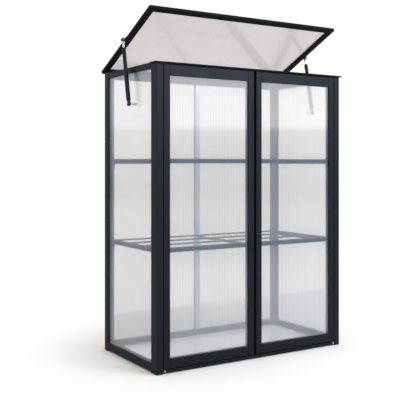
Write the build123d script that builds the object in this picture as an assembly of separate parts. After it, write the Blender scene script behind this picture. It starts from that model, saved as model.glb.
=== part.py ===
from build123d import *
import math
import os

# Mini greenhouse: aluminium frame, twin-wall glazing, two pivoted doors, rear-hinged lid on two gas struts.
# Millimetres. The origin is on the ground under the middle of the frame; X runs right, Y to the back.

os.makedirs("parts", exist_ok=True)

# Overall sizes. The height is that of the greenhouse with its lid closed.
frame_width = 760.0
frame_depth = 390.0
overall_height = 1000.0

# Frame extrusions
wall = 1.6
edge_chamfer = 1.0
post_width = 24.0
post_depth = 38.0
rear_post_depth = 30.0
cap_height = 4.0
cap_plug_height = 10.0
base_rail_height = 26.0
top_rail_height = 20.0
rear_rail_depth = 24.0
mullion_width = 18.0
mullion_depth = 18.0
mullion_slot_depth = 6.5

# Twin-wall sheet and the slots that hold it
panel_thickness = 4.0
panel_skin = 0.6
panel_web = 0.6
flute_pitch = 17.0
glazing_fit = 0.2
glazing_setback = 4.5
slot_depth = 10.0
panel_play = 1.5

# Floor sheet
ledge_width = 10.0
ledge_thickness = 2.0
ledge_rise = 1.5
floor_play = 1.0

# Front sill, header and drip strip
sill_face = 9.0
sill_stop_depth = 14.0
sill_stop_height = 17.0
header_depth = 14.0
header_height = 32.0
drip_thickness = 4.0
drip_overhang = 6.0
drip_nose = 2.0
drip_nose_drop = 1.5

# Doors
door_thickness = 20.0
door_stile_width = 23.0
door_top_rail_height = 36.0
door_bottom_rail_height = 31.0
door_slot_depth = 8.0
door_side_gap = 2.0
door_bottom_gap = 2.0
door_top_gap = 3.0
meeting_gap = 3.0
meeting_fin_width = 3.5
meeting_fin_setback = 9.0
meeting_fin_thickness = 2.0
pivot_edge_distance = 9.0
pivot_face_distance = 6.0
pivot_radius = 3.0
pivot_fit = 0.05
pivot_reach = 12.0
bush_play = 0.3
bush_length = 16.0
magnet_width = 30.0
magnet_height = 10.0
magnet_thickness = 3.0
magnet_from_centre = 60.0
strike_thickness = 0.6

# Lid and its continuous hinge
lid_gap = 2.0
lid_height = 12.0
lid_rail_width = 20.0
lid_overhang = 6.0
lid_slot_depth = 8.0
lid_edge_radius = 3.0
lid_open_angle = 25.0
hinge_setback = 6.0
bead_radius = 3.5
bead_fit = 0.06
bead_end_inset = 6.0
hook_wall = 1.8
hook_end_play = 2.0
hook_swing_margin = 3.0
neck_thickness = 2.2
neck_angle = 25.0
hinge_wall = 3.2

# Gas struts
strut_offset = 14.0
strut_reach = 206.0
strut_foot_y = -28.0
strut_foot_drop = 124.0
strut_end_length = 12.0
strut_end_play = 2.0
strut_tube_radius = 7.5
strut_tube_wall = 0.8
strut_floor = 2.0
rod_radius = 3.6
rod_side_play = 2.9
rod_guide_fit = 0.3
strut_neck_width = 8.0
eye_radius = 6.5
eye_width = 8.0
stud_radius = 3.0
stud_fit = 0.05
stud_hole_fit = 0.2
stud_tip = 1.5
nut_radius = 6.0
nut_height = 4.0

# Shelves
upper_shelf_top = 680.0
middle_shelf_top = 394.0
shelf_door_gap = 5.0
shelf_rear_gap = 1.0
shelf_wall = 1.2
shelf_bar_height = 15.0
shelf_bar_depth = 12.0
slat_width = 14.0
slat_height = 5.0
slat_count = 3
cross_bar_width = 12.0
cross_bar_height = 7.0
angle_thickness = 2.0
angle_ledge_width = 18.0
angle_tab_drop = 18.0
angle_tab_width = 13.0

# Corner brackets
bracket_long_leg = 44.0
bracket_short_leg = 30.0
bracket_height = 12.0
bracket_thickness = 2.0

# Planes and levels that follow from the sizes above
x_out = frame_width / 2
x_in = x_out - post_width
y_front = -frame_depth / 2
y_back = frame_depth / 2
y_post_front = y_front + post_depth
y_post_rear = y_back - rear_post_depth
y_rear_in = y_back - rear_rail_depth
frame_top = overall_height - lid_height - lid_gap
post_bottom = cap_height
post_top = frame_top - cap_height
base_top = post_bottom + base_rail_height
top_bottom = frame_top - top_rail_height
slot_width = panel_thickness + glazing_fit
glass_x = x_out - glazing_setback
glass_y = y_back - glazing_setback
sill_top = post_bottom + sill_face
header_top = frame_top - drip_thickness
header_back = y_post_front
header_front = header_back - header_depth
floor_z = post_bottom + ledge_rise + ledge_thickness
shelf_front_y = y_front + door_thickness + shelf_door_gap
shelf_rear_y = y_rear_in - shelf_rear_gap


def rect(u0, u1, v0, v1):
    return Pos((u0 + u1) / 2, (v0 + v1) / 2) * Rectangle(abs(u1 - u0), abs(v1 - v0))


def eased(u0, u1, v0, v1):
    # Rectangle with small chamfers on its corners, as the edges of the extrusions have.
    low_u, high_u = min(u0, u1), max(u0, u1)
    low_v, high_v = min(v0, v1), max(v0, v1)
    return outline([
        (low_u + edge_chamfer, low_v),
        (high_u - edge_chamfer, low_v),
        (high_u, low_v + edge_chamfer),
        (high_u, high_v - edge_chamfer),
        (high_u - edge_chamfer, high_v),
        (low_u + edge_chamfer, high_v),
        (low_u, high_v - edge_chamfer),
        (low_u, low_v + edge_chamfer),
    ])


def outline(points):
    return make_face(Polyline(*points, close=True))


def along_x(section, x0, x1):
    return extrude(Plane((x0, 0, 0), x_dir=(0, 1, 0), z_dir=(1, 0, 0)) * section, amount=x1 - x0)


def along_y(section, y0, y1):
    return extrude(Plane((0, y1, 0), x_dir=(1, 0, 0), z_dir=(0, -1, 0)) * section, amount=y1 - y0)


def along_z(section, z0, z1):
    return extrude(Plane.XY.offset(z0) * section, amount=z1 - z0)


def other_side(shape):
    return mirror(shape, about=Plane.YZ)


def save(shape, node):
    export_step(shape, "parts/" + node + ".step")


# Corner posts: hollow extrusions with a slot for the side panel; the rear pair also takes the rear panel.
slot_x0 = glass_x - slot_width
front_post_section = eased(x_in, x_out, y_front, y_post_front)
front_post_section -= rect(slot_x0, glass_x, y_post_front - slot_depth, y_post_front)
front_post_section -= rect(x_in + wall, x_out - wall, y_front + wall, y_post_front - slot_depth - wall)
front_post_section -= rect(x_in + wall, slot_x0 - wall, y_post_front - slot_depth, y_post_front - wall)
front_post = along_z(front_post_section, post_bottom, post_top)
save(front_post, "front_right_post")
save(other_side(front_post), "front_left_post")

slot_y0 = glass_y - slot_width
rear_post_section = eased(x_in, x_out, y_post_rear, y_back)
rear_post_section -= rect(slot_x0, glass_x, y_post_rear, y_post_rear + slot_depth)
rear_post_section -= rect(x_in, x_in + slot_depth, slot_y0, glass_y)
rear_post_section -= rect(x_in + wall, x_out - wall, y_post_rear + slot_depth + wall, slot_y0 - wall)
rear_post_section -= rect(x_in + slot_depth + wall, x_out - wall, slot_y0, y_back - wall)
rear_post_section -= rect(x_in + wall, slot_x0 - wall, y_post_rear + wall, y_post_rear + slot_depth)
rear_post = along_z(rear_post_section, post_bottom, post_top)
save(rear_post, "rear_right_post")
save(other_side(rear_post), "rear_left_post")

# End caps: moulded plates with a plug that fills a post's chamber; feet below, covers on the rear posts.
front_plate = along_z(eased(x_in, x_out, y_front, y_post_front), 0, cap_height)
front_plug_section = rect(x_in + wall, x_out - wall, y_front + wall, y_post_front - slot_depth - wall)
front_cap = front_plate + along_z(front_plug_section, cap_height, cap_height + cap_plug_height)
rear_plate_section = eased(x_in, x_out, y_post_rear, y_back)
rear_plug_section = rect(x_in + wall, x_out - wall, y_post_rear + slot_depth + wall, slot_y0 - wall)
rear_cap = along_z(rear_plate_section, 0, cap_height)
rear_cap += along_z(rear_plug_section, cap_height, cap_height + cap_plug_height)
rear_cover = along_z(rear_plate_section, post_top, frame_top)
rear_cover += along_z(rear_plug_section, post_top - cap_plug_height, post_top)
caps = [front_cap, rear_cap, rear_cover]
save(Compound(children=caps + [other_side(item) for item in caps]), "post_caps")

# Side base and top rails, between the posts; slots face each other and hold the side panel.
base_slot_floor = base_top - slot_depth
top_slot_floor = top_bottom + slot_depth
side_base_section = eased(x_in, x_out, post_bottom, base_top)
side_base_section -= rect(slot_x0, glass_x, base_slot_floor, base_top)
side_base_section -= rect(x_in + wall, x_out - wall, post_bottom + wall, base_slot_floor - wall)
side_base_section -= rect(x_in + wall, slot_x0 - wall, base_slot_floor, base_top - wall)
side_ledge_section = rect(x_in - ledge_width, x_in + wall / 2, floor_z - ledge_thickness, floor_z)
side_base = along_y(side_base_section, y_post_front, y_post_rear)
side_base += along_y(side_ledge_section, y_post_front, y_post_rear)
save(side_base, "right_base_rail")
save(other_side(side_base), "left_base_rail")

side_top_section = eased(x_in, x_out, top_bottom, frame_top)
side_top_section -= rect(slot_x0, glass_x, top_bottom, top_slot_floor)
side_top_section -= rect(x_in + wall, x_out - wall, top_slot_floor + wall, frame_top - wall)
side_top_section -= rect(x_in + wall, slot_x0 - wall, top_bottom + wall, top_slot_floor)
side_top = along_y(side_top_section, y_post_front, y_post_rear)
save(side_top, "right_top_rail")
save(other_side(side_top), "left_top_rail")

# Rear base rail with its floor ledge.
rear_base_section = eased(y_rear_in, y_back, post_bottom, base_top)
rear_base_section -= rect(slot_y0, glass_y, base_slot_floor, base_top)
rear_base_section -= rect(y_rear_in + wall, y_back - wall, post_bottom + wall, base_slot_floor - wall)
rear_base_section -= rect(y_rear_in + wall, slot_y0 - wall, base_slot_floor, base_top - wall)
rear_ledge_section = rect(y_rear_in - ledge_width, y_rear_in + wall / 2, floor_z - ledge_thickness, floor_z)
rear_base = along_x(rear_base_section, -x_in, x_in)
rear_base += along_x(rear_ledge_section, -x_in + ledge_width, x_in - ledge_width)
save(rear_base, "rear_base_rail")

# Rear top rail. A round bead on a slanting neck runs along its back edge and carries the lid.
hinge_y = y_back + hinge_setback
hinge_z = frame_top + lid_gap
bead_x = x_in - bead_end_inset
neck_length = hinge_setback / math.cos(math.radians(neck_angle)) + hinge_wall
neck_section = Pos(hinge_y, hinge_z) * Rot(0, 0, 180 + neck_angle) * rect(
    0, neck_length, -neck_thickness / 2, neck_thickness / 2)
rear_top_section = eased(y_rear_in, y_back, top_bottom, frame_top)
rear_top_section -= rect(slot_y0, glass_y, top_bottom, top_slot_floor)
rear_top_section -= rect(y_rear_in + wall, y_back - hinge_wall, top_slot_floor + wall, frame_top - wall)
rear_top_section -= rect(y_rear_in + wall, slot_y0 - wall, top_bottom + wall, top_slot_floor)
bead_section = neck_section + Pos(hinge_y, hinge_z) * Circle(bead_radius)
rear_top = along_x(rear_top_section, -x_in, x_in) + along_x(bead_section, -bead_x, bead_x)
save(rear_top, "rear_top_rail")

# Rear mullion between the rear rails, slotted on both sides.
half_mullion = mullion_width / 2
mullion_core = half_mullion - mullion_slot_depth
mullion_front = y_back - mullion_depth
mullion_section = eased(-half_mullion, half_mullion, mullion_front, y_back)
mullion_section -= rect(mullion_core, half_mullion, slot_y0, glass_y)
mullion_section -= rect(-half_mullion, -mullion_core, slot_y0, glass_y)
mullion_section -= rect(-half_mullion + wall, half_mullion - wall, mullion_front + wall, slot_y0 - wall)
save(along_z(mullion_section, base_top, top_bottom), "rear_mullion")

# Front sill: a low box under the doors, with an upstand behind them as a stop, and the front floor ledge.
stop_front = y_post_front - sill_stop_depth
stop_top = sill_top + sill_stop_height
sill_section = outline([
    (y_front, post_bottom),
    (y_post_front, post_bottom),
    (y_post_front, stop_top),
    (stop_front, stop_top),
    (stop_front, sill_top),
    (y_front, sill_top),
])
sill_section -= rect(y_front + wall, y_post_front - wall, post_bottom + wall, sill_top - wall)
sill_section -= rect(stop_front + wall, y_post_front - wall, sill_top, stop_top - wall)
sill_ledge_section = rect(
    y_post_front - wall / 2, y_post_front + ledge_width, floor_z - ledge_thickness, floor_z)
sill = along_x(sill_section, -x_in, x_in)
sill += along_x(sill_ledge_section, -x_in + ledge_width, x_in - ledge_width)

# Front header behind the doors' top rails, and the drip strip that covers it and both front posts.
header_section = eased(header_front, header_back, header_top - header_height, header_top)
header_section -= rect(
    header_front + wall, header_back - wall, header_top - header_height + wall, header_top - wall)
header = along_x(header_section, -x_in, x_in)
save(header, "front_header")

drip_front = y_front - drip_overhang
drip_section = outline([
    (drip_front, header_top - drip_nose_drop),
    (drip_front + drip_nose, header_top - drip_nose_drop),
    (drip_front + drip_nose, header_top),
    (y_post_front, header_top),
    (y_post_front, frame_top),
    (drip_front + drip_nose, frame_top),
    (drip_front, frame_top - drip_nose),
])
drip = along_x(drip_section, -x_out - drip_overhang, x_out + drip_overhang)

# Corner brackets: bent angles inside every corner of the base and of the top.
rear_bracket_section = outline([
    (x_in, y_rear_in),
    (x_in - bracket_short_leg, y_rear_in),
    (x_in - bracket_short_leg, y_rear_in - bracket_thickness),
    (x_in - bracket_thickness, y_rear_in - bracket_thickness),
    (x_in - bracket_thickness, y_rear_in - bracket_long_leg),
    (x_in, y_rear_in - bracket_long_leg),
])
front_bracket_section = outline([
    (x_in, y_post_front),
    (x_in - bracket_short_leg, y_post_front),
    (x_in - bracket_short_leg, y_post_front + bracket_thickness),
    (x_in - bracket_thickness, y_post_front + bracket_thickness),
    (x_in - bracket_thickness, y_post_front + bracket_long_leg),
    (x_in, y_post_front + bracket_long_leg),
])
brackets = []
for low in (base_top - bracket_height, top_bottom):
    for section in (rear_bracket_section, front_bracket_section):
        brackets.append(along_z(section, low, low + bracket_height))
save(Compound(children=brackets + [other_side(item) for item in brackets]), "corner_brackets")


# Twin-wall sheet: two skins joined by webs, so the section is a row of long rectangular flutes.
def twin_wall_section(length):
    half = panel_thickness / 2
    section = rect(-length / 2, length / 2, -half, half)
    count = int((length - 2 * panel_web) // flute_pitch)
    first = -(count - 1) * flute_pitch / 2
    hollow = flute_pitch - panel_web
    for index in range(count):
        centre = first + index * flute_pitch
        section -= rect(centre - hollow / 2, centre + hollow / 2, -half + panel_skin, half - panel_skin)
    return section


panel_bottom = base_slot_floor
panel_top = top_slot_floor - panel_play

# Side panels, drilled for the lower stud of the strut.
strut_foot_z = frame_top - strut_foot_drop
strut_x = x_out + strut_offset
side_length = y_post_rear - y_post_front + 2 * (slot_depth - panel_play)
side_middle_y = (y_post_front + y_post_rear) / 2
side_place = Pos(glass_x - panel_thickness / 2, side_middle_y) * Rot(0, 0, 90)
side_section = side_place * twin_wall_section(side_length)
side_panel = along_z(side_section, panel_bottom, panel_top)
stud_hole = Pos(strut_foot_y, strut_foot_z) * Circle(stud_radius + stud_hole_fit)
side_panel = side_panel - along_x(stud_hole, glass_x - panel_thickness, glass_x)
save(side_panel, "right_side_panel")
save(other_side(side_panel), "left_side_panel")

# Rear panels, either side of the mullion.
rear_x0 = mullion_core + panel_play
rear_x1 = x_in + slot_depth - panel_play
rear_place = Pos((rear_x0 + rear_x1) / 2, glass_y - panel_thickness / 2)
rear_section = rear_place * twin_wall_section(rear_x1 - rear_x0)
rear_panel = along_z(rear_section, panel_bottom, panel_top)
save(rear_panel, "rear_right_panel")
save(other_side(rear_panel), "rear_left_panel")

# Floor sheet on the ledges, flutes from front to back.
floor_y0 = y_post_front + floor_play
floor_y1 = y_rear_in - floor_play
floor_section = Pos(0, floor_z + panel_thickness / 2) * twin_wall_section(2 * (x_in - floor_play))
save(along_y(floor_section, floor_y0, floor_y1), "floor_panel")

# Doors. Both are drawn as the right-hand door and mirrored.
door_bottom = sill_top + door_bottom_gap
door_top = header_top - door_top_gap
door_outer = x_in - door_side_gap
door_inner = meeting_gap / 2 + meeting_fin_width
door_back = y_front + door_thickness
door_glass = y_front + glazing_setback
hinge_stile_x = door_outer - door_stile_width
meeting_stile_x = door_inner + door_stile_width
pivot_x = door_outer - pivot_edge_distance
pivot_y = y_front + pivot_face_distance


def door_stile_section(outer, inner):
    # Hollow box with a slot in its inner side; inner and outer are the X of those sides.
    toward = 1 if outer > inner else -1
    floor = inner + toward * door_slot_depth
    section = eased(inner, outer, y_front, door_back)
    section -= rect(inner, floor, door_glass, door_glass + slot_width)
    section -= rect(floor + toward * wall, outer - toward * wall, y_front + wall, door_back - wall)
    section -= rect(inner + toward * wall, floor, y_front + wall, door_glass - wall)
    section -= rect(inner + toward * wall, floor, door_glass + slot_width + wall, door_back - wall)
    return section


hinge_stile = along_z(door_stile_section(door_outer, hinge_stile_x), door_bottom, door_top)
save(hinge_stile, "right_door_hinge_stile")
save(other_side(hinge_stile), "left_door_hinge_stile")

fin_front = y_front + meeting_fin_setback
meeting_section = door_stile_section(door_inner, meeting_stile_x)
meeting_section += rect(
    meeting_gap / 2, door_inner + wall / 2, fin_front, fin_front + meeting_fin_thickness)
meeting_stile = along_z(meeting_section, door_bottom, door_top)
save(meeting_stile, "right_door_meeting_stile")
save(other_side(meeting_stile), "left_door_meeting_stile")


def door_rail_section(edge, outer):
    # Hollow box with a slot in the edge that meets the panel; edge and outer are the Z of its two edges.
    toward = 1 if outer > edge else -1
    floor = edge + toward * door_slot_depth
    section = eased(y_front, door_back, edge, outer)
    section -= rect(door_glass, door_glass + slot_width, edge, floor)
    section -= rect(y_front + wall, door_back - wall, floor + toward * wall, outer - toward * wall)
    section -= rect(y_front + wall, door_glass - wall, edge + toward * wall, floor)
    section -= rect(door_glass + slot_width + wall, door_back - wall, edge + toward * wall, floor)
    return section


rail_low_edge = door_bottom + door_bottom_rail_height
rail_high_edge = door_top - door_top_rail_height
door_bottom_rail = along_x(door_rail_section(rail_low_edge, door_bottom), meeting_stile_x, hinge_stile_x)
save(door_bottom_rail, "right_door_bottom_rail")
save(other_side(door_bottom_rail), "left_door_bottom_rail")
door_top_rail = along_x(door_rail_section(rail_high_edge, door_top), meeting_stile_x, hinge_stile_x)
save(door_top_rail, "right_door_top_rail")
save(other_side(door_top_rail), "left_door_top_rail")

door_panel_x0 = meeting_stile_x - door_slot_depth + panel_play
door_panel_x1 = hinge_stile_x + door_slot_depth - panel_play
door_panel_place = Pos((door_panel_x0 + door_panel_x1) / 2, door_glass + panel_thickness / 2)
door_panel_section = door_panel_place * twin_wall_section(door_panel_x1 - door_panel_x0)
door_panel = along_z(
    door_panel_section, rail_low_edge - door_slot_depth, rail_high_edge + door_slot_depth - panel_play)
save(door_panel, "right_door_panel")
save(other_side(door_panel), "left_door_panel")

# Pivots: pins in the sill and the drip strip turn in nylon bushes that plug the ends of the hinge stile.
stile_floor = hinge_stile_x + door_slot_depth
bush_section = rect(stile_floor + wall, door_outer - wall, y_front + wall, door_back - wall)
bush_section -= Pos(pivot_x, pivot_y) * Circle(pivot_radius + pivot_fit)
low_bush = along_z(bush_section, sill_top + bush_play, door_bottom + bush_length)
high_bush = along_z(bush_section, door_top - bush_length, header_top - bush_play)
save(Compound(children=[low_bush, high_bush]), "right_door_bushes")
save(Compound(children=[other_side(low_bush), other_side(high_bush)]), "left_door_bushes")

pin_circle = Pos(pivot_x, pivot_y) * Circle(pivot_radius)
low_pin = along_z(pin_circle, post_bottom + wall, door_bottom + pivot_reach)
high_pin = along_z(pin_circle, door_top - pivot_reach, frame_top - drip_nose)
pins = [low_pin, high_pin]
save(Compound(children=pins + [other_side(item) for item in pins]), "door_pivot_pins")
low_hole = along_z(pin_circle, sill_top - wall, sill_top)
high_hole = along_z(pin_circle, header_top, frame_top - drip_nose)
save(sill - low_hole - other_side(low_hole), "front_sill")
save(drip - high_hole - other_side(high_hole), "drip_strip")

# Catches: a magnet on the header and a steel strike on the back of each door's top rail.
magnet_z = (rail_high_edge + door_top) / 2
magnet_face = rect(
    magnet_from_centre, magnet_from_centre + magnet_width,
    magnet_z - magnet_height / 2, magnet_z + magnet_height / 2)
magnet = along_y(magnet_face, header_front - magnet_thickness, header_front)
save(Compound(children=[magnet, other_side(magnet)]), "door_magnets")
strike = along_y(magnet_face, door_back, door_back + strike_thickness)
save(strike, "right_door_strike")
save(other_side(strike), "left_door_strike")

# Lid, drawn closed and then swung open about the hinge. The rails meet in mitres.
lid_x = x_out + lid_overhang
lid_front = y_front - lid_overhang
lid_bottom = hinge_z
lid_top = hinge_z + lid_height
hook_radius = bead_radius + bead_fit + hook_wall
lid_rear = hinge_y + hook_radius
lid_glass = lid_bottom + (lid_height - panel_thickness) / 2
lid_slot_floor = lid_rail_width - lid_slot_depth


def lid_rail_section():
    # Outer edge at zero, inner edge at the rail's width; the upper outer edge is round, the slot faces in.
    section = rect(0, lid_rail_width, lid_bottom, lid_top)
    section -= rect(0, lid_edge_radius, lid_top - lid_edge_radius, lid_top)
    section += Pos(lid_edge_radius, lid_top - lid_edge_radius) * Circle(lid_edge_radius)
    section -= rect(lid_slot_floor, lid_rail_width, lid_glass, lid_glass + slot_width)
    section -= rect(wall, lid_slot_floor - wall, lid_bottom + wall, lid_top - wall)
    return section


def mitre(half_length, depth):
    # Plan of a mitred rail that lies along X, with its outer edge on the X axis.
    return outline([
        (-half_length, 0),
        (half_length, 0),
        (half_length - depth, depth),
        (-half_length + depth, depth),
    ])


lid_section = lid_rail_section()
lid_length = lid_rear - lid_front
rail_plan = mitre(lid_x, lid_rail_width)
side_plan = mitre(lid_length / 2, lid_rail_width)
long_cut = along_z(rail_plan, lid_bottom, lid_top)
short_cut = along_z(side_plan, lid_bottom, lid_top)
long_rail = along_x(lid_section, -lid_x, lid_x) & long_cut
short_rail = along_x(lid_section, -lid_length / 2, lid_length / 2) & short_cut
lid_front_rail = Pos(0, lid_front, 0) * long_rail
lid_rear_plain = Pos(0, lid_rear, 0) * Rot(0, 0, 180) * long_rail
lid_middle_y = (lid_front + lid_rear) / 2
lid_right_rail = Pos(lid_x, lid_middle_y, 0) * Rot(0, 0, 90) * short_rail
lid_left_rail = Pos(-lid_x, lid_middle_y, 0) * Rot(0, 0, -90) * short_rail

# The hook wraps the bead and stays open only as far as the neck needs through the lid's swing.
hook_x = bead_x + hook_end_play
neck_half = math.degrees(math.asin(neck_thickness / 2 / (bead_radius + bead_fit)))
open_from = math.radians(180 + neck_angle - neck_half - hook_swing_margin)
open_to = math.radians(180 + neck_angle + lid_open_angle + neck_half + hook_swing_margin)
open_mid = (open_from + open_to) / 2
mouth_reach = 3 * hook_radius
mouth = outline([
    (hinge_y, hinge_z),
    (hinge_y + mouth_reach * math.cos(open_from), hinge_z + mouth_reach * math.sin(open_from)),
    (hinge_y + mouth_reach * math.cos(open_mid), hinge_z + mouth_reach * math.sin(open_mid)),
    (hinge_y + mouth_reach * math.cos(open_to), hinge_z + mouth_reach * math.sin(open_to)),
])
hook_ring = Pos(hinge_y, hinge_z) * Circle(hook_radius) - mouth
hook_bore = Pos(hinge_y, hinge_z) * Circle(bead_radius + bead_fit)
lid_rear_rail = lid_rear_plain + along_x(hook_ring, -hook_x, hook_x)
lid_rear_rail = lid_rear_rail - along_x(hook_bore, -hook_x, hook_x)

panel_reach = lid_rail_width - lid_slot_depth + panel_play
lid_panel_section = Pos(0, lid_glass + panel_thickness / 2) * twin_wall_section(2 * (lid_x - panel_reach))
lid_panel = along_y(lid_panel_section, lid_front + panel_reach, lid_rear - panel_reach)

# Strut studs. One stands on each side rail of the lid, one is bolted through each side panel.
lid_stud_y = hinge_y - strut_reach
lid_stud_rise = lid_height / 2
lid_stud_z = hinge_z + lid_stud_rise
stud_end = strut_x + eye_width / 2 + stud_tip
lid_stud = along_x(Pos(lid_stud_y, lid_stud_z) * Circle(stud_radius), lid_x, stud_end)
hinge_axis = Axis((0, hinge_y, hinge_z), (1, 0, 0))


def opened(shape):
    return shape.rotate(hinge_axis, -lid_open_angle)


save(opened(lid_front_rail), "lid_front_rail")
save(opened(lid_rear_rail), "lid_rear_rail")
save(opened(lid_left_rail), "lid_left_rail")
save(opened(lid_right_rail), "lid_right_rail")
save(opened(lid_panel), "lid_panel")
save(Compound(children=[opened(lid_stud), opened(other_side(lid_stud))]), "lid_strut_studs")

panel_inside = glass_x - panel_thickness
foot_circle = Pos(strut_foot_y, strut_foot_z) * Circle(stud_radius)
foot_hexagon = Pos(strut_foot_y, strut_foot_z) * RegularPolygon(nut_radius, 6)
foot_stud = along_x(foot_circle, panel_inside - nut_height, stud_end)
foot_nut = along_x(foot_hexagon - foot_circle, panel_inside - nut_height, panel_inside)
fixings = [foot_stud, foot_nut]
save(Compound(children=fixings + [other_side(item) for item in fixings]), "strut_panel_studs")

# Gas struts: the tube swings on the side panel's stud, the rod on the lid's stud, and slides in the tube.
# The tube's guide slot leaves the rod the side play that the two swings need.
swing = math.radians(lid_open_angle)
open_stud_y = hinge_y - strut_reach * math.cos(swing) + lid_stud_rise * math.sin(swing)
open_stud_z = hinge_z + strut_reach * math.sin(swing) + lid_stud_rise * math.cos(swing)
strut_tilt = math.degrees(math.atan2(open_stud_y - strut_foot_y, open_stud_z - strut_foot_z))
closed_length = math.hypot(lid_stud_y - strut_foot_y, lid_stud_z - strut_foot_z)
tube_top = closed_length - strut_end_length - strut_end_play
rod_length = closed_length - strut_end_length - strut_floor - strut_end_play
half_eye = eye_width / 2
half_neck = strut_neck_width / 2
eye_bore = Circle(stud_radius + stud_fit)
tube_eye_section = Circle(eye_radius) + rect(-half_neck, half_neck, 0, strut_end_length) - eye_bore
rod_eye_section = Circle(eye_radius) + rect(-half_neck, half_neck, -strut_end_length, 0) - eye_bore

tube_bore_radius = strut_tube_radius - strut_tube_wall
tube_slot = SlotOverall(2 * (rod_radius + rod_side_play), 2 * (rod_radius + rod_guide_fit), rotation=90)
tube = along_z(Circle(strut_tube_radius), strut_end_length, tube_top)
tube -= along_z(Circle(tube_bore_radius), strut_end_length + strut_floor, tube_top - strut_floor)
tube -= along_z(tube_slot, tube_top - strut_floor, tube_top)
tube += along_x(tube_eye_section, -half_eye, half_eye)
strut_cylinder = Pos(strut_x, strut_foot_y, strut_foot_z) * Rot(-strut_tilt, 0, 0) * tube
save(strut_cylinder, "right_strut_cylinder")
save(other_side(strut_cylinder), "left_strut_cylinder")

rod = along_z(Circle(rod_radius), -rod_length, -strut_end_length)
rod += along_x(rod_eye_section, -half_eye, half_eye)
strut_rod = Pos(strut_x, open_stud_y, open_stud_z) * Rot(-strut_tilt, 0, 0) * rod
save(strut_rod, "right_strut_rod")
save(other_side(strut_rod), "left_strut_rod")


# Shelves: slats and a tall front bar between end angles on the posts, with a cross bar under the slats.
def tube_along_x(y0, y1, z0, z1, half_length):
    section = rect(y0, y1, z0, z1) - rect(y0 + shelf_wall, y1 - shelf_wall, z0 + shelf_wall, z1 - shelf_wall)
    return along_x(section, -half_length, half_length)


def make_shelf(name, top):
    leg_x = x_in - angle_thickness
    bar_back = shelf_front_y + shelf_bar_depth
    leg_low = top - slat_height - angle_thickness
    tab_low = top - shelf_bar_height - angle_tab_drop
    tab_rear_y = y_post_rear + angle_tab_width
    leg = outline([
        (shelf_front_y, top),
        (tab_rear_y, top),
        (tab_rear_y, tab_low),
        (y_post_rear, tab_low),
        (y_post_rear, leg_low),
        (y_post_front, leg_low),
        (y_post_front, tab_low),
        (shelf_front_y, tab_low),
    ])
    ledge = rect(leg_x - angle_ledge_width, leg_x + angle_thickness / 2, leg_low, top - slat_height)
    angle = along_x(leg, leg_x, x_in) + along_y(ledge, bar_back, shelf_rear_y)
    save(angle, name + "_right_angle")
    save(other_side(angle), name + "_left_angle")
    save(tube_along_x(shelf_front_y, bar_back, top - shelf_bar_height, top, leg_x), name + "_front_bar")
    first = bar_back
    last = shelf_rear_y - slat_width
    spacing = (last - first + slat_width) / slat_count
    slats = []
    for index in range(slat_count):
        y0 = last - index * spacing
        slats.append(tube_along_x(y0, y0 + slat_width, top - slat_height, top, leg_x))
    save(Compound(children=slats), name + "_slats")
    low = top - slat_height - cross_bar_height
    cross = rect(-cross_bar_width / 2, cross_bar_width / 2, low, top - slat_height)
    cross -= rect(
        -cross_bar_width / 2 + shelf_wall, cross_bar_width / 2 - shelf_wall,
        low + shelf_wall, top - slat_height - shelf_wall)
    save(along_y(cross, bar_back, shelf_rear_y), name + "_cross_bar")


make_shelf("upper_shelf", upper_shelf_top)
make_shelf("middle_shelf", middle_shelf_top)
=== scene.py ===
import math

import bmesh
import bpy
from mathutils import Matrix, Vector


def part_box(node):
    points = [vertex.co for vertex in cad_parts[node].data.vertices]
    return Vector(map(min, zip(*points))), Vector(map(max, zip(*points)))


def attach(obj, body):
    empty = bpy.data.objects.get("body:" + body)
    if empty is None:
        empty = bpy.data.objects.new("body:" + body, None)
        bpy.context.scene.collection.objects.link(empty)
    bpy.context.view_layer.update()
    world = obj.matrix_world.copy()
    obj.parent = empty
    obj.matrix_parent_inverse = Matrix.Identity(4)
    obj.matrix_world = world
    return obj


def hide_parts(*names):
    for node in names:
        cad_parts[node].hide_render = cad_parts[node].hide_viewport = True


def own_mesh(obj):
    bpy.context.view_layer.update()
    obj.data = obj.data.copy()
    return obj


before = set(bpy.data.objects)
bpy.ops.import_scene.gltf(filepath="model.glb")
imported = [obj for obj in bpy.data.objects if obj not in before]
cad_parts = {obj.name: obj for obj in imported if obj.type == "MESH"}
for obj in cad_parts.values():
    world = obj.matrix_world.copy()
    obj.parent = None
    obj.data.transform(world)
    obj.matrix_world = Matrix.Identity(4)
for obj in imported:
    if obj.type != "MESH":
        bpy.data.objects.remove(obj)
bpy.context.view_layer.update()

# Posts, base rails, top rails, door header, front sill and corner brackets: aluminium extrusions cut to
# length, powder coated in anthracite and screwed to the angle brackets inside the corners. The coat is
# satin, a little bluer where the light catches it, with a faint orange peel.


def linear(code):
    """An sRGB hex colour as the linear RGBA that a socket takes."""
    parts = [int(code[i:i + 2], 16) / 255.0 for i in (1, 3, 5)]
    return tuple(c / 12.92 if c <= 0.04045 else ((c + 0.055) / 1.055) ** 2.4 for c in parts) + (1.0,)


def blank(name):
    """An empty node material."""
    material = bpy.data.materials.new(name)
    material.use_nodes = True
    material.node_tree.nodes.clear()
    return material


def add(owner, kind, settings=None, inputs=None):
    """A node in the owner's tree with its settings, and with a value or a link on each socket named."""
    tree = owner.node_tree
    node = tree.nodes.new(kind)
    for name, value in (settings or {}).items():
        setattr(node, name, value)
    for key, value in (inputs or {}).items():
        if isinstance(value, bpy.types.NodeSocket):
            tree.links.new(value, node.inputs[key])
        else:
            node.inputs[key].default_value = value
    return node


def dress(material, *names):
    """The material goes on these CAD nodes."""
    for name in names:
        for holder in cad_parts[name].material_slots:
            holder.material = material


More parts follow.
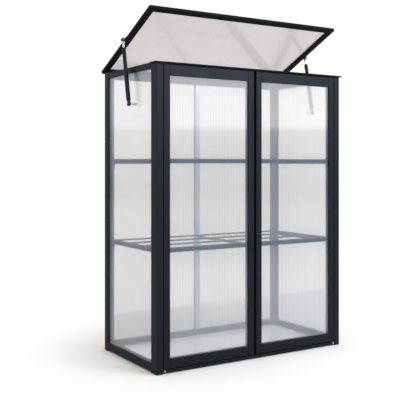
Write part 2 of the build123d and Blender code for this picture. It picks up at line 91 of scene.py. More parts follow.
# Powder coat, a dielectric of index 1.5 that a matting agent dulls: soft highlights on the top edges, near
# black in the gaps. Its tone drifts slowly along a bar, and its peel has cells of 2.5 mm.
drift_length = 0.143
peel_cell = 0.0025
coat = blank("satin anthracite powder coat")
place = add(coat, "ShaderNodeTexCoord")
drift = add(coat, "ShaderNodeTexNoise", None,
            {"Vector": place.outputs["Object"], "Scale": 1.0 / drift_length, "Detail": 3.0})
tone = add(coat, "ShaderNodeMix", {"data_type": "RGBA"},
           {0: drift.outputs[0], 6: linear("#0D1013"), 7: linear("#13161B")})
peel = add(coat, "ShaderNodeTexNoise", None,
           {"Vector": place.outputs["Object"], "Scale": 1.0 / peel_cell, "Detail": 1.0})
sheen = add(coat, "ShaderNodeMapRange", None,
            {"Value": drift.outputs[0], "To Min": 0.44, "To Max": 0.52})
relief = add(coat, "ShaderNodeBump", None,
             {"Height": peel.outputs[0], "Strength": 0.12, "Distance": 0.0002})
finish = add(coat, "ShaderNodeBsdfPrincipled", None,
             {"Base Color": tone.outputs[2], "Roughness": sheen.outputs[0], "IOR": 1.5,
              "Specular IOR Level": 0.17, "Normal": relief.outputs[0]})
add(coat, "ShaderNodeOutputMaterial", None, {"Surface": finish.outputs[0]})
dress(coat, "front_left_post", "front_right_post", "rear_left_post", "rear_right_post",
      "left_base_rail", "right_base_rail", "rear_base_rail", "left_top_rail", "right_top_rail",
      "rear_top_rail", "front_header", "front_sill", "corner_brackets")

# Rear mullion: an H-shaped joining strip of aluminium between the two rear sheets, left bare and anodised.
# It is satin grey and shows only faintly through the doors. The lines that the die leaves along it are
# too fine to show, so they are drawn about 1 mm wide.
die_line = 0.0011
anodised = blank("satin anodised aluminium")
place = add(anodised, "ShaderNodeTexCoord")
axes = add(anodised, "ShaderNodeSeparateXYZ", None, {0: place.outputs["Object"]})
drawn = add(anodised, "ShaderNodeTexNoise", {"noise_dimensions": "1D"},
            {"W": axes.outputs[0], "Scale": 1.0 / die_line, "Detail": 2.0})
tone = add(anodised, "ShaderNodeMix", {"data_type": "RGBA"},
           {0: drawn.outputs[0], 6: linear("#AAB0B9"), 7: linear("#C4CAD2")})
finish = add(anodised, "ShaderNodeBsdfPrincipled", None,
             {"Base Color": tone.outputs[2], "Roughness": 0.45, "Metallic": 0.6})
add(anodised, "ShaderNodeOutputMaterial", None, {"Surface": finish.outputs[0]})
dress(anodised, "rear_mullion")

# Drip strip: a thin aluminium lip over the doors, fixed along the header and reaching past both posts. Its
# powder coat is matt and black, so it hardly takes a highlight and only drifts a little in tone.
lip_drift = 0.05
lip = blank("matt black powder coat")
place = add(lip, "ShaderNodeTexCoord")
drift = add(lip, "ShaderNodeTexNoise", None,
            {"Vector": place.outputs["Object"], "Scale": 1.0 / lip_drift, "Detail": 3.0})
tone = add(lip, "ShaderNodeMix", {"data_type": "RGBA"},
           {0: drift.outputs[0], 6: linear("#0B0D10"), 7: linear("#14171B")})
finish = add(lip, "ShaderNodeBsdfPrincipled", None,
             {"Base Color": tone.outputs[2], "Roughness": 0.6, "IOR": 1.5, "Specular IOR Level": 0.06})
add(lip, "ShaderNodeOutputMaterial", None, {"Surface": finish.outputs[0]})
dress(lip, "drip_strip")

# Post caps: plugs of black glass-filled nylon, moulded and pressed into the open ends of the posts. They
# are matt. The spark-eroded grain of the mould is too fine to show, so it is drawn 2 mm wide.
mould_grain = 0.002
nylon = blank("black moulded nylon")
place = add(nylon, "ShaderNodeTexCoord")
grain = add(nylon, "ShaderNodeTexNoise", None,
            {"Vector": place.outputs["Object"], "Scale": 1.0 / mould_grain, "Detail": 2.0})
tone = add(nylon, "ShaderNodeMix", {"data_type": "RGBA"},
           {0: grain.outputs[0], 6: linear("#0E0F10"), 7: linear("#17181A")})
relief = add(nylon, "ShaderNodeBump", None,
             {"Height": grain.outputs[0], "Strength": 0.2, "Distance": 0.0002})
finish = add(nylon, "ShaderNodeBsdfPrincipled", None,
             {"Base Color": tone.outputs[2], "Roughness": 0.6, "IOR": 1.53, "Normal": relief.outputs[0]})
add(nylon, "ShaderNodeOutputMaterial", None, {"Surface": finish.outputs[0]})
dress(nylon, "post_caps")

# Side and rear glazing: twin-wall polycarbonate sheets of 4 mm, two thin skins joined by webs every
# 6 mm, extruded, cut to size and slid into the slots of the extrusions with the flutes upright.
X = Vector((1.0, 0.0, 0.0))
Y = Vector((0.0, 1.0, 0.0))
Z = Vector((0.0, 0.0, 1.0))
flute_pitch = 0.006
flute_sink = 0.00015
points_per_flute = 6
web_half = 0.0004
web_shade = 0.0012
clear_at_web = 0.96
# Draw marks of the extruder are finer than this. They are drawn 5 mm wide so that they show.
draw_mark = 0.005


def twin_wall(name, across, see_through, scatter, passed, spread, bounced, inside_shine):
    """Opal twin-wall sheet: part of the light passes straight, the webs and opal skins spread the rest.
    What is spread turns cool and what passes turns warm, as in any faintly milky plastic."""
    sheet = blank(name)
    place = add(sheet, "ShaderNodeTexCoord")
    axes = add(sheet, "ShaderNodeSeparateXYZ", None, {0: place.outputs["Object"]})
    off_web = add(sheet, "ShaderNodeMath", {"operation": "PINGPONG"},
                  {0: axes.outputs[across], 1: flute_pitch / 2.0})
    web = add(sheet, "ShaderNodeMapRange", None,
              {"Value": off_web.outputs[0], "From Min": web_half, "From Max": web_shade,
               "To Min": see_through * clear_at_web, "To Max": see_through})
    draw = add(sheet, "ShaderNodeTexNoise", {"noise_dimensions": "1D"},
               {"W": axes.outputs[across], "Scale": 1.0 / draw_mark, "Detail": 3.0})
    streak = add(sheet, "ShaderNodeMapRange", None,
                 {"Value": draw.outputs[0], "From Min": 0.3, "From Max": 0.7})
    tone = add(sheet, "ShaderNodeMix", {"data_type": "RGBA"},
               {0: streak.outputs[0], 6: linear(spread[0]), 7: linear(spread[1])})
    straight = add(sheet, "ShaderNodeBsdfTransparent", None, {"Color": linear(passed)})
    # Half of the haze goes on forward in a wide cone, and half glows evenly.
    side = add(sheet, "ShaderNodeNewGeometry")
    inward = add(sheet, "ShaderNodeBsdfRefraction", None,
                 {"Color": tone.outputs[2], "Roughness": 0.85, "IOR": 1.25})
    outward = add(sheet, "ShaderNodeBsdfRefraction", None,
                  {"Color": tone.outputs[2], "Roughness": 0.85, "IOR": 0.8})
    forward = add(sheet, "ShaderNodeMixShader", None,
                  {0: side.outputs["Backfacing"], 1: inward.outputs[0], 2: outward.outputs[0]})
    milky = add(sheet, "ShaderNodeBsdfTranslucent", None, {"Color": tone.outputs[2]})
    haze = add(sheet, "ShaderNodeMixShader", None, {0: 0.5, 1: forward.outputs[0], 2: milky.outputs[0]})
    skin = add(sheet, "ShaderNodeBsdfDiffuse", None, {"Color": linear(bounced)})
    opal = add(sheet, "ShaderNodeMixShader", None, {0: scatter, 1: haze.outputs[0], 2: skin.outputs[0]})
    pane = add(sheet, "ShaderNodeMixShader", None,
               {0: web.outputs[0], 1: opal.outputs[0], 2: straight.outputs[0]})
    # Four polished faces of index 1.59 mirror about a sixth of the light, and more at a glancing angle.
    slope = add(sheet, "ShaderNodeLayerWeight", None, {"Blend": 0.5})
    graze = add(sheet, "ShaderNodeMath", {"operation": "POWER"}, {0: slope.outputs["Facing"], 1: 5.0})
    shine = add(sheet, "ShaderNodeMapRange", None,
                {"Value": graze.outputs[0], "To Min": 0.15, "To Max": 0.9})
    faced = add(sheet, "ShaderNodeMapRange", None,
                {"Value": side.outputs["Backfacing"], "To Min": 1.0, "To Max": inside_shine})
    gleam = add(sheet, "ShaderNodeMath", {"operation": "MULTIPLY"},
                {0: shine.outputs[0], 1: faced.outputs[0]})
    mirror = add(sheet, "ShaderNodeBsdfGlossy", None, {"Roughness": 0.05})
    whole = add(sheet, "ShaderNodeMixShader", None,
                {0: gleam.outputs[0], 1: pane.outputs[0], 2: mirror.outputs[0]})
    add(sheet, "ShaderNodeOutputMaterial", None, {"Surface": whole.outputs[0]})
    return sheet


def wrap(mesh, rings, smooth=False):
    """Faces between rings of points that follow each other, and a cap at each end. Gives the side faces."""
    sides = []
    for lower, upper in zip(rings, rings[1:]):
        for i in range(len(lower)):
            j = (i + 1) % len(lower)
            side = mesh.faces.new((lower[i], lower[j], upper[j], upper[i]))
            side.smooth = smooth
            sides.append(side)
    mesh.faces.new(rings[0])
    mesh.faces.new(rings[-1])
    return sides


def settle(mesh, name, body, materials, node=None):
    """The finished mesh becomes a piece that rides on a body, in place of a CAD node if one is named."""
    bmesh.ops.recalc_face_normals(mesh, faces=mesh.faces)
    data = bpy.data.meshes.new(name)
    mesh.to_mesh(data)
    mesh.free()
    for material in materials:
        data.materials.append(material)
    piece = bpy.data.objects.new(name, data)
    bpy.context.collection.objects.link(piece)
    if node:
        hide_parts(node)
    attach(piece, body)
    return piece


def fluted_sheet(node, body, corner, across, along, out, width, length, thick, skins):
    """A sheet whose outer face sinks a little between its webs, in place of the CAD node."""
    steps = round(width / flute_pitch) * points_per_flute
    profile = [(0.0, 0.0), (width, 0.0)]
    for i in range(steps, -1, -1):
        at = width * i / steps
        dip = flute_sink * (0.5 - 0.5 * math.cos(2.0 * math.pi * at / flute_pitch))
        profile.append((at, thick - dip))
    mesh = bmesh.new()
    rings = []
    for reach in (0.0, length):
        rings.append([mesh.verts.new(corner + across * u + out * w + along * reach) for u, w in profile])
    sides = wrap(mesh, rings)
    for face in mesh.faces:
        face.material_index = 1
    # The first two side faces are the inner face and one edge, and the last is the other edge.
    for face in sides[2:-1]:
        face.material_index = 0
        face.smooth = True
    for line in mesh.edges:
        line.smooth = all(face.smooth for face in line.link_faces)
    settle(mesh, node + "_sheet", body, skins, node)


# The inner skin lets everything through and only adds its own reflection.
wash_patch = 0.083
inner_skin = blank("clear polycarbonate inner skin")
place = add(inner_skin, "ShaderNodeTexCoord")
wash = add(inner_skin, "ShaderNodeTexNoise", None,
           {"Vector": place.outputs["Object"], "Scale": 1.0 / wash_patch, "Detail": 2.0})
tone = add(inner_skin, "ShaderNodeMix", {"data_type": "RGBA"},
           {0: wash.outputs[0], 6: linear("#FFFFFF"), 7: linear("#FBFCFD")})
straight = add(inner_skin, "ShaderNodeBsdfTransparent", None, {"Color": tone.outputs[2]})
slope = add(inner_skin, "ShaderNodeLayerWeight", None, {"Blend": 0.5})
graze = add(inner_skin, "ShaderNodeMath", {"operation": "POWER"}, {0: slope.outputs["Facing"], 1: 5.0})
shine = add(inner_skin, "ShaderNodeMapRange", None,
            {"Value": graze.outputs[0], "To Min": 0.02, "To Max": 0.9})
mirror = add(inner_skin, "ShaderNodeBsdfGlossy", None, {"Roughness": 0.14})
whole = add(inner_skin, "ShaderNodeMixShader", None,
            {0: shine.outputs[0], 1: straight.outputs[0], 2: mirror.outputs[0]})
add(inner_skin, "ShaderNodeOutputMaterial", None, {"Surface": whole.outputs[0]})

opal_x = twin_wall("opal twin-wall sheet, flutes across x", across=0, see_through=0.55, scatter=0.04,
                   passed="#FFF8ED", spread=("#F3F6FC", "#EDF1FA"), bounced="#DCE7F8", inside_shine=0.0)
# The side sheets take lighter, more neutral tints than those of the back and doors: painted light.
opal_y_painted_lighter = twin_wall("opal twin-wall sheet, flutes across y, painted lighter", across=1, see_through=0.66, scatter=0.04,
                   passed="#FFFDFA", spread=("#FFFEFE", "#FBFAFC"), bounced="#E4ECF8", inside_shine=0.0)
for name, sign in (("left_side_panel", -1), ("right_side_panel", 1)):
    low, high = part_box(name)
    inner = Vector((high.x if sign < 0 else low.x, low.y, low.z))
    fluted_sheet(name, "frame", inner, Y, Z, X * sign,
                 high.y - low.y, high.z - low.z, high.x - low.x, (opal_y_painted_lighter, inner_skin))
for name in ("rear_left_panel", "rear_right_panel"):
    low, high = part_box(name)
    fluted_sheet(name, "frame", low.copy(), X, Z, Y,
                 high.x - low.x, high.z - low.z, high.y - low.y, (opal_x, inner_skin))

# Floor sheet: the same twin-wall sheet laid flat on the ledges of the base rails. Seen from above it is
# glossy and cool and mirrors the posts. Its draw marks run from front to back and are drawn coarse.
floor_mark = 0.0077
floor_sheet = blank("glossy twin-wall floor sheet")
place = add(floor_sheet, "ShaderNodeTexCoord")
axes = add(floor_sheet, "ShaderNodeSeparateXYZ", None, {0: place.outputs["Object"]})
draw = add(floor_sheet, "ShaderNodeTexNoise", {"noise_dimensions": "1D"},
           {"W": axes.outputs[0], "Scale": 1.0 / floor_mark, "Detail": 2.0})
tone = add(floor_sheet, "ShaderNodeMix", {"data_type": "RGBA"},
           {0: draw.outputs[0], 6: linear("#F3F6FB"), 7: linear("#E8EEF6")})
finish = add(floor_sheet, "ShaderNodeBsdfPrincipled", None,
             {"Base Color": tone.outputs[2], "Roughness": 0.16, "IOR": 1.59})
add(floor_sheet, "ShaderNodeOutputMaterial", None, {"Surface": finish.outputs[0]})
low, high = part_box("floor_panel")
fluted_sheet("floor_panel", "frame", low.copy(), X, Y, Z,
             high.x - low.x, high.y - low.y, high.z - low.z, (floor_sheet, floor_sheet))

# Shelves: a coated front bar and three slats on a cross bar, carried by angles that are screwed to the
# posts. Folded aluminium strips hang under the angles, flush with them, so that the ends of a shelf look
# as tall as its front bar.
dress(coat, *[shelf + "_shelf_" + part for shelf in ("upper", "middle")
              for part in ("front_bar", "slats", "cross_bar", "left_angle", "right_angle")])
angle_leg = 0.007
rail_gap = 0.0002
rail_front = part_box("front_left_post")[1].y + rail_gap
rail_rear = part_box("rear_left_post")[0].y - rail_gap
# Section of a strip, as (inward, downward) points from the foot of the angle.
fold = ((0.0, -0.0003), (0.0, 0.0082), (0.0003, 0.0091), (0.001, 0.0095), (0.006, 0.0095),
        (0.0063, 0.0088), (0.006, 0.0081), (0.0025, 0.0081), (0.0018, 0.0076), (0.0016, 0.0068),
        (0.0016, -0.0003))
for shelf in ("upper", "middle"):
    for side, sign in (("left", -1), ("right", 1)):
        low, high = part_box(shelf + "_shelf_" + side + "_angle")
        outer = high.x if sign > 0 else low.x
        rail = bmesh.new()
        ends = []
        for y in (rail_front, rail_rear):
            ends.append([rail.verts.new((outer - sign * u, y, high.z - angle_leg - w)) for u, w in fold])
        wrap(rail, ends)
        settle(rail, shelf + "_shelf_" + side + "_rail", "frame", [coat])

# Screws: zinc-plated steel with pan heads of 6 mm and a small round recess. They hold the angles of the
# shelves and the corner brackets, and one at each end of the sill locks the pivot pin of a door. Zinc is
# bright and a little cloudy.
zinc_cloud = 0.00385
zinc = blank("bright zinc-plated steel")
place = add(zinc, "ShaderNodeTexCoord")
cloud = add(zinc, "ShaderNodeTexNoise", None,
            {"Vector": place.outputs["Object"], "Scale": 1.0 / zinc_cloud, "Detail": 3.0})
tone = add(zinc, "ShaderNodeMix", {"data_type": "RGBA"},
           {0: cloud.outputs[0], 6: linear("#B9BDC2"), 7: linear("#D2D5D8")})
worn = add(zinc, "ShaderNodeMapRange", None, {"Value": cloud.outputs[0], "To Min": 0.22, "To Max": 0.4})
finish = add(zinc, "ShaderNodeBsdfPrincipled", None,
             {"Base Color": tone.outputs[2], "Roughness": worn.outputs[0], "Metallic": 1.0})
add(zinc, "ShaderNodeOutputMaterial", None, {"Surface": finish.outputs[0]})


def turned(name, body, material, places, profile, steps=40):
    """One piece with a turned part at each (centre, axis) place.
    The profile is a list of (distance along the axis, radius) points."""
    mesh = bmesh.new()
    for centre, axis in places:
        side = axis.orthogonal().normalized()
        up = axis.cross(side)
        spokes = []
        for i in range(steps):
            turn = 2.0 * math.pi * i / steps
            spokes.append(side * math.cos(turn) + up * math.sin(turn))
        rings = []
        for reach, radius in profile:
            rings.append([mesh.verts.new(centre + axis * reach + spoke * radius) for spoke in spokes])
        wrap(mesh, rings, smooth=True)
    return settle(mesh, name, body, [material])


pan_head = ((0.0, 0.003), (0.0009, 0.003), (0.0015, 0.0025), (0.0018, 0.0016), (0.0018, 0.0009),
            (0.0012, 0.0003))
head_steps = 20

angle_thick = 0.002
tab_half = 0.0065
tab_drop = 0.025
places = []
for shelf in ("upper", "middle"):
    for side, sign in (("left", -1), ("right", 1)):
        low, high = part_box(shelf + "_shelf_" + side + "_angle")
        inner = (high.x if sign > 0 else low.x) - sign * angle_thick
        for y in (low.y + tab_half, high.y - tab_half):
            places.append((Vector((inner, y, high.z - tab_drop)), X * -sign))
turned("shelf_screws", "frame", zinc, places, pan_head, head_steps)

pivot_screw_in = 0.0055
pivot_screw_up = 0.0045
low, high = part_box("front_sill")
places = []
for x in (low.x + pivot_screw_in, high.x - pivot_screw_in):
    places.append((Vector((x, low.y, low.z + pivot_screw_up)), -Y))
turned("pivot_screws", "frame", zinc, places, pan_head, head_steps)

bracket_thick = 0.002
bracket_half_height = 0.006
along_side = 0.032
along_front = 0.02
low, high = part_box("corner_brackets")
places = []
for height in (low.z + bracket_half_height, high.z - bracket_half_height):
    for sign, edge in ((-1, low.x), (1, high.x)):
        for corner, inward in ((low.y, 1), (high.y, -1)):
            on_side = Vector((edge - sign * bracket_thick, corner + inward * along_side, height))
            on_front = Vector((edge - sign * along_front, corner + inward * bracket_thick, height))
            places.append((on_side, X * -sign))
            places.append((on_front, Y * inward))
turned("bracket_screws", "frame", zinc, places, pan_head, head_steps)

# Doors: stiles and rails of the same coated extrusion, with a twin-wall sheet in their slots. They turn in
# nylon bushes on plated steel pins, and a plated strike on each meets the magnet on the header.
for side in ("left", "right"):
    dress(coat, *[side + "_door_" + part
                  for part in ("hinge_stile", "meeting_stile", "top_rail", "bottom_rail")])
    dress(nylon, side + "_door_bushes")
    dress(zinc, side + "_door_strike")
    name = side + "_door_panel"
    low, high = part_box(name)
    fluted_sheet(name, side + "_door", Vector((low.x, high.y, low.z)), X, Z, -Y,
                 high.x - low.x, high.z - low.z, high.y - low.y, (opal_x, inner_skin))
dress(zinc, "door_pivot_pins")

# Door magnets: small blocks of ferrite, pressed from powder, sintered and fixed on the header. They are
# dull and dark grey. The grain of the powder is too fine to show, so it is drawn about 1 mm wide.
ferrite_grain = 0.0011
ferrite = blank("dark sintered ferrite")
place = add(ferrite, "ShaderNodeTexCoord")
cloud = add(ferrite, "ShaderNodeTexNoise", None,
            {"Vector": place.outputs["Object"], "Scale": 1.0 / ferrite_grain, "Detail": 2.0})
tone = add(ferrite, "ShaderNodeMix", {"data_type": "RGBA"},
           {0: cloud.outputs[0], 6: linear("#1B1A1A"), 7: linear("#2A2928")})
finish = add(ferrite, "ShaderNodeBsdfPrincipled", None,
             {"Base Color": tone.outputs[2], "Roughness": 0.75, "IOR": 1.6})
add(ferrite, "ShaderNodeOutputMaterial", None, {"Surface": finish.outputs[0]})
dress(ferrite, "door_magnets")

# Lid: rails in the matt black coat round a twin-wall sheet with its flutes from front to back. The rear
# rail hooks over the bead of the rear top rail along its whole length, which is the hinge. The sheet takes
# darker, warmer tints than the other sheets: painted shade on its underside, seen from below against the
# light.
dress(lip, "lid_front_rail", "lid_left_rail", "lid_right_rail", "lid_rear_rail")
opal_lid_painted_shade = twin_wall("opal twin-wall sheet of the lid, painted shade", across=0, see_through=0.25, scatter=0.1,
                     passed="#E7DFE0", spread=("#E0D9DA", "#D3CCCD"), bounced="#DAD1D2", inside_shine=1.0)
open_angle = math.radians(25.0)
sheet_thick = 0.004
low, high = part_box("lid_panel")
reach = (high.y - low.y - sheet_thick * math.sin(open_angle)) / math.cos(open_angle)
along = Vector((0.0, -math.cos(open_angle), math.sin(open_angle)))
out = Vector((0.0, math.sin(open_angle), math.cos(open_angle)))
rear_corner = Vector((low.x, high.y - sheet_thick * math.sin(open_angle), low.z))
fluted_sheet("lid_panel", "lid", rear_corner, X, along, out,
             high.x - low.x, reach, sheet_thick, (opal_lid_painted_shade, inner_skin))

# Gas struts: a drawn steel tube, painted black, on a plated stud through the side sheet, and a slim rod on
# a blackened stud at the lid. The paint is smooth, with a narrow highlight along the tube.
paint_drift = 0.025
black_paint = blank("black painted steel tube")
place = add(black_paint, "ShaderNodeTexCoord")
drift = add(black_paint, "ShaderNodeTexNoise", None,
            {"Vector": place.outputs["Object"], "Scale": 1.0 / paint_drift, "Detail": 3.0})
tone = add(black_paint, "ShaderNodeMix", {"data_type": "RGBA"},
           {0: drift.outputs[0], 6: linear("#101113"), 7: linear("#1A1C1F")})
finish = add(black_paint, "ShaderNodeBsdfPrincipled", None,
             {"Base Color": tone.outputs[2], "Roughness": 0.35, "IOR": 1.5, "Specular IOR Level": 0.25})
add(black_paint, "ShaderNodeOutputMaterial", None, {"Surface": finish.outputs[0]})
dress(black_paint, "left_strut_cylinder", "right_strut_cylinder", "lid_strut_studs")
dress(zinc, "strut_panel_studs")

# The rod is black nitrided steel, and polished bright over the last 20 mm below its upper end. The middles
# of the studs' boxes lie on the axes of the studs, and the strut points from the lower one to the upper one.
bright_starts = 0.0295
bright_full = 0.0285
nitride_cloud = 0.0083
stud = sum(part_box("lid_strut_studs"), Vector()) / 2.0
foot = sum(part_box("strut_panel_studs"), Vector()) / 2.0
strut_way = (stud - foot).normalized()
stud_height = stud.dot(strut_way)
rod = blank("black nitrided rod with a bright end")
place = add(rod, "ShaderNodeTexCoord")
cloud = add(rod, "ShaderNodeTexNoise", None,
            {"Vector": place.outputs["Object"], "Scale": 1.0 / nitride_cloud, "Detail": 2.0})
up_strut = add(rod, "ShaderNodeVectorMath", {"operation": "DOT_PRODUCT"},
               {0: place.outputs["Object"], 1: strut_way})
bright = add(rod, "ShaderNodeMapRange", None,
             {"Value": up_strut.outputs["Value"], "From Min": stud_height - bright_starts,
              "From Max": stud_height - bright_full})
dark = add(rod, "ShaderNodeMix", {"data_type": "RGBA"},
           {0: cloud.outputs[0], 6: linear("#101215"), 7: linear("#1A1C20")})
tone = add(rod, "ShaderNodeMix", {"data_type": "RGBA"},
           {0: bright.outputs[0], 6: dark.outputs[2], 7: linear("#DDE0E3")})
gloss = add(rod, "ShaderNodeMapRange", None, {"Value": bright.outputs[0], "To Min": 0.35, "To Max": 0.15})
finish = add(rod, "ShaderNodeBsdfPrincipled", None,
             {"Base Color": tone.outputs[2], "Roughness": gloss.outputs[0], "Metallic": bright.outputs[0]})
add(rod, "ShaderNodeOutputMaterial", None, {"Surface": finish.outputs[0]})
dress(rod, "left_strut_rod", "right_strut_rod")

# Ends of the struts: moulded nylon sockets pressed over the eyes of the tube and the rod, domed on the
# outside. The plated head of the foot stud stands a little proud of the lower one.
socket_lap = 0.0005
stud_head_sunk = 0.0005
dome = ((0.0, 0.0045), (0.0003, 0.0062), (0.002, 0.007), (0.0065, 0.007), (0.0085, 0.0064),
        (0.0101, 0.005), (0.011, 0.003))
stud_head = ((0.0, 0.003), (0.0011, 0.003), (0.0014, 0.0024))
stud_head_steps = 24
low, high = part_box("right_strut_rod")
strut_x = (low.x + high.x) / 2.0
socket_x = low.x - socket_lap
stud_head_x = socket_x + dome[-1][0] - stud_head_sunk
for side, sign in (("left", -1), ("right", 1)):
    outward = X * sign
    turned(side + "_rod_socket", side + "_rod", nylon,
           [(stud + outward * socket_x, outward)], dome)
    turned(side + "_tube_socket", side + "_cylinder", nylon,
           [(foot + outward * socket_x, outward)], dome)
    turned(side + "_foot_stud_head", "frame", zinc,
           [(foot + outward * stud_head_x, outward)], stud_head, stud_head_steps)

# Brackets of the upper studs: pressed steel plates with round ends, painted black, on the sides of the
# lid. Each is held by two screws, and its outer edge is eased.
plate_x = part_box("lid_right_rail")[1].x
plate_half = 0.017
plate_rise = 0.0052
plate_thick = 0.0016
plate_ease = 0.0004
plate_steps = 48
screw_from_stud = 0.0118
for side, sign in (("left", -1), ("right", 1)):
    base = stud + X * (sign * plate_x)
    plate = bmesh.new()
    rings = []
    for lift, shrink in ((0.0, 0.0), (plate_thick - plate_ease, 0.0), (plate_thick, plate_ease)):
        ring = []
        for i in range(plate_steps):
            turn = 2.0 * math.pi * i / plate_steps
            end = 1.0 if math.cos(turn) > 0.0 else -1.0
            u = end * (plate_half - plate_rise) + (plate_rise - shrink) * math.cos(turn)
            w = (plate_rise - shrink) * math.sin(turn)
            ring.append(plate.verts.new(base + X * (sign * lift) + along * u + out * w))
        rings.append(ring)
    wrap(plate, rings)
    settle(plate, side + "_lid_bracket", "lid", [black_paint])
    face = base + X * (sign * plate_thick)
    places = [(face + along * shift, X * sign) for shift in (screw_from_stud, -screw_from_stud)]
    turned(side + "_lid_bracket_screws", "lid", black_paint, places, pan_head, head_steps)

# Dust sleeves: thin black rubber with shallow ribs, moulded and stretched from the end of the tube up the
# rod. They are fixed to the tube.
rubber_bloom = 0.0033
rubber = blank("black stretch rubber")
place = add(rubber, "ShaderNodeTexCoord")
bloom = add(rubber, "ShaderNodeTexNoise", None,
            {"Vector": place.outputs["Object"], "Scale": 1.0 / rubber_bloom, "Detail": 2.0})
tone = add(rubber, "ShaderNodeMix", {"data_type": "RGBA"},
           {0: bloom.outputs[0], 6: linear("#0D0E10"), 7: linear("#16181B")})
finish = add(rubber, "ShaderNodeBsdfPrincipled", None,
             {"Base Color": tone.outputs[2], "Roughness": 0.42, "IOR": 1.52, "Specular IOR Level": 0.2})
add(rubber, "ShaderNodeOutputMaterial", None, {"Surface": finish.outputs[0]})
# Both ends are measured up the strut from its foot.
tube_end = 0.11999
sleeve_end = 0.1945
sleeve_radius = 0.0066
cuff = 0.0008
rib_count = 15
rib_rise = 0.0003
points_per_rib = 4
sleeve_steps = 32
sleeve_points = rib_count * points_per_rib
sleeve_profile = [(tube_end, 0.0045), (tube_end, sleeve_radius)]
for i in range(sleeve_points + 1):
    share = i / sleeve_points
    radius = sleeve_radius + rib_rise * math.cos(2.0 * math.pi * rib_count * share)
    sleeve_profile.append((tube_end + cuff + (sleeve_end - tube_end - 2.0 * cuff) * share, radius))
sleeve_profile += [(sleeve_end, 0.0062), (sleeve_end, 0.0042)]
for side, sign in (("left", -1), ("right", 1)):
    strut_foot = foot + X * (sign * strut_x)
    sleeve = turned(side + "_dust_sleeve", side + "_cylinder", rubber,
                    [(strut_foot, strut_way)], sleeve_profile, sleeve_steps)
    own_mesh(sleeve)

# Studio floor: a sheet of pale paper that ends behind the greenhouse. Seen directly it fades to white round
# the shadow. Through the sheets, in reflections and in the light it throws back it turns a darker grey blue:
# painted shade on the floor behind the greenhouse and in its reflections.
floor_half = 3.0
floor_front = -2.5
floor_rear = 0.75
fade_starts = 0.36
fade_ends = 0.74
ground = bpy.data.meshes.new("studio_floor")
ground.from_pydata([(-floor_half, floor_front, 0), (floor_half, floor_front, 0),
                    (floor_half, floor_rear, 0), (-floor_half, floor_rear, 0)], [], [(0, 1, 2, 3)])
studio_floor = bpy.data.objects.new("studio_floor", ground)
bpy.context.collection.objects.link(studio_floor)
paper = blank("pale studio floor")
place = add(paper, "ShaderNodeTexCoord")
from_middle = add(paper, "ShaderNodeVectorMath", {"operation": "LENGTH"}, {0: place.outputs["Object"]})
fade = add(paper, "ShaderNodeMapRange", {"interpolation_type": "SMOOTHSTEP"},
           {"Value": from_middle.outputs["Value"], "From Min": fade_starts, "From Max": fade_ends})
ray = add(paper, "ShaderNodeLightPath")
open_air = add(paper, "ShaderNodeMath", {"operation": "LESS_THAN"},
               {0: ray.outputs["Transparent Depth"], 1: 0.5})
direct = add(paper, "ShaderNodeMath", {"operation": "MULTIPLY"},
             {0: ray.outputs["Is Camera Ray"], 1: open_air.outputs[0]})
seen = add(paper, "ShaderNodeMath", {"operation": "MULTIPLY"}, {0: fade.outputs[0], 1: direct.outputs[0]})
# Darker grey blue for every ray but a direct view: painted shade.
tone = add(paper, "ShaderNodeMix", {"data_type": "RGBA"},
           {0: direct.outputs[0], 6: linear("#CACFD6"), 7: linear("#ECE9E4")})
matt = add(paper, "ShaderNodeBsdfDiffuse", None, {"Color": tone.outputs[2]})
glow = add(paper, "ShaderNodeEmission", None, {"Color": (1.0, 1.0, 1.0, 1.0), "Strength": 1.0})
fading = add(paper, "ShaderNodeMixShader", None,
             {0: seen.outputs[0], 1: matt.outputs[0], 2: glow.outputs[0]})
add(paper, "ShaderNodeOutputMaterial", None, {"Surface": fading.outputs[0]})
ground.materials.append(paper)

# Studio room: white where it is seen, with an even white light. Reflections show a dim, bluish room with a
# bright strip above the horizon, brighter in front of the doors than at the back, and a dark beam below
# it. Heights are the upward part of a ray's direction, and front and back blend over its y part.
dim_front = (0.36, 0.53, 0.78, 1.0)
dim_back = (0.46, 0.52, 0.63, 1.0)
bright_front = (2.02, 2.10, 2.22, 1.0)
bright_back = (1.02, 1.14, 1.30, 1.0)
strip_starts = 0.0455
strip_full = 0.0485
strip_fades = 0.16
strip_ends = 0.34
above_strip = 0.1
blend_half = 0.3
surround = bpy.data.worlds.new("white studio")
bpy.context.scene.world = surround
surround.use_nodes = True
surround.node_tree.nodes.clear()
way = add(surround, "ShaderNodeTexCoord")
axes = add(surround, "ShaderNodeSeparateXYZ", None, {0: way.outputs["Generated"]})
rise = add(surround, "ShaderNodeMapRange", {"interpolation_type": "SMOOTHSTEP"},
           {"Value": axes.outputs[2], "From Min": strip_starts, "From Max": strip_full})
fall = add(surround, "ShaderNodeMapRange", {"interpolation_type": "SMOOTHSTEP"},
           {"Value": axes.outputs[2], "From Min": strip_fades, "From Max": strip_ends,
            "To Min": 1.0, "To Max": above_strip})
strip = add(surround, "ShaderNodeMath", {"operation": "MULTIPLY"}, {0: rise.outputs[0], 1: fall.outputs[0]})
back = add(surround, "ShaderNodeMapRange", {"interpolation_type": "SMOOTHSTEP"},
           {"Value": axes.outputs[1], "From Min": -blend_half, "From Max": blend_half})
dim = add(surround, "ShaderNodeMix", {"data_type": "RGBA"}, {0: back.outputs[0], 6: dim_front, 7: dim_back})
bright = add(surround, "ShaderNodeMix", {"data_type": "RGBA"},
             {0: back.outputs[0], 6: bright_front, 7: bright_back})
wall = add(surround, "ShaderNodeMix", {"data_type": "RGBA"},
           {0: strip.outputs[0], 6: dim.outputs[2], 7: bright.outputs[2]})
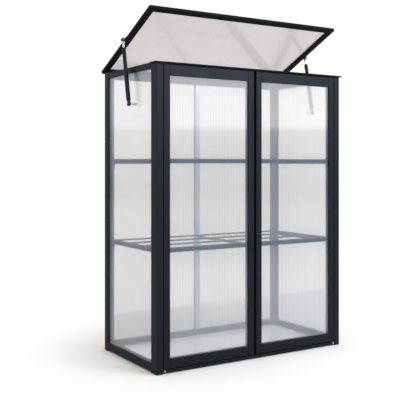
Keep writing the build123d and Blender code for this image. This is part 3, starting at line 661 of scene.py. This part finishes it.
# The beam, as (height, strength) points.
lowest = -0.2
highest = 0.06
beam = ((-0.1, 1.0), (-0.058, 0.85), (-0.05, 0.35), (-0.035, 0.3), (-0.03, 0.0), (-0.024, 0.3),
        (-0.017, 0.6), (-0.006, 0.85), (0.02, 1.0))
height = add(surround, "ShaderNodeMapRange", None,
             {"Value": axes.outputs[2], "From Min": lowest, "From Max": highest})
level = add(surround, "ShaderNodeValToRGB", None, {0: height.outputs[0]})
stops = level.color_ramp.elements
for at, strength in beam:
    stops.new((at - lowest) / (highest - lowest)).color = (strength, strength, strength, 1.0)
stops[0].color = (1.0, 1.0, 1.0, 1.0)
stops[-1].color = (1.0, 1.0, 1.0, 1.0)
ray = add(surround, "ShaderNodeLightPath")
seen = add(surround, "ShaderNodeMath", {"operation": "MAXIMUM"},
           {0: ray.outputs["Is Camera Ray"], 1: ray.outputs["Is Transmission Ray"]})
lit = add(surround, "ShaderNodeBackground", None, {"Color": linear("#FBFAF8"), "Strength": 0.92})
mirrored = add(surround, "ShaderNodeBackground", None,
               {"Color": wall.outputs[2], "Strength": level.outputs[0]})
white = add(surround, "ShaderNodeBackground", None, {"Color": (1.0, 1.0, 1.0, 1.0), "Strength": 1.0})
unseen = add(surround, "ShaderNodeMixShader", None,
             {0: ray.outputs["Is Glossy Ray"], 1: lit.outputs[0], 2: mirrored.outputs[0]})
both = add(surround, "ShaderNodeMixShader", None,
           {0: seen.outputs[0], 1: unseen.outputs[0], 2: white.outputs[0]})
add(surround, "ShaderNodeOutputWorld", None, {"Surface": both.outputs[0]})

# Lamps: a cool softbox in front on the right, which draws the highlights on the coat, and a wide, warm one
# overhead, which gives the soft shadow on the floor.
for name, at, aim, size, power, tint in (
        ("softbox front right", (0.9, -1.9, 1.85), (0.0, -0.2, 0.8), 1.2, 46.0, "#E2ECFF"),
        ("softbox overhead", (0.0, 0.2, 3.2), (0.0, 0.0, 0.0), 2.2, 13.0, "#FFEEDA")):
    lamp = bpy.data.lights.new(name, "AREA")
    lamp.size = size
    lamp.energy = power
    lamp.color = linear(tint)[:3]
    holder = bpy.data.objects.new(name, lamp)
    holder.location = at
    holder.rotation_euler = (Vector(aim) - Vector(at)).to_track_quat("-Z", "Y").to_euler()
    bpy.context.collection.objects.link(holder)

# Camera: level, so that upright edges stay upright, and turned to the front left corner. Its shift brings
# the whole greenhouse into the picture.
lens = bpy.data.cameras.new("camera")
lens.sensor_width = 36.0
lens.lens = 64.4
lens.shift_y = -0.1058
camera = bpy.data.objects.new("camera", lens)
camera.location = (-1.488, -2.25, 0.663)
camera.rotation_euler = (math.radians(90.0), 0.0, math.radians(-32.28))
bpy.context.collection.objects.link(camera)
bpy.context.scene.camera = camera
bpy.context.scene.view_settings.view_transform = "Standard"
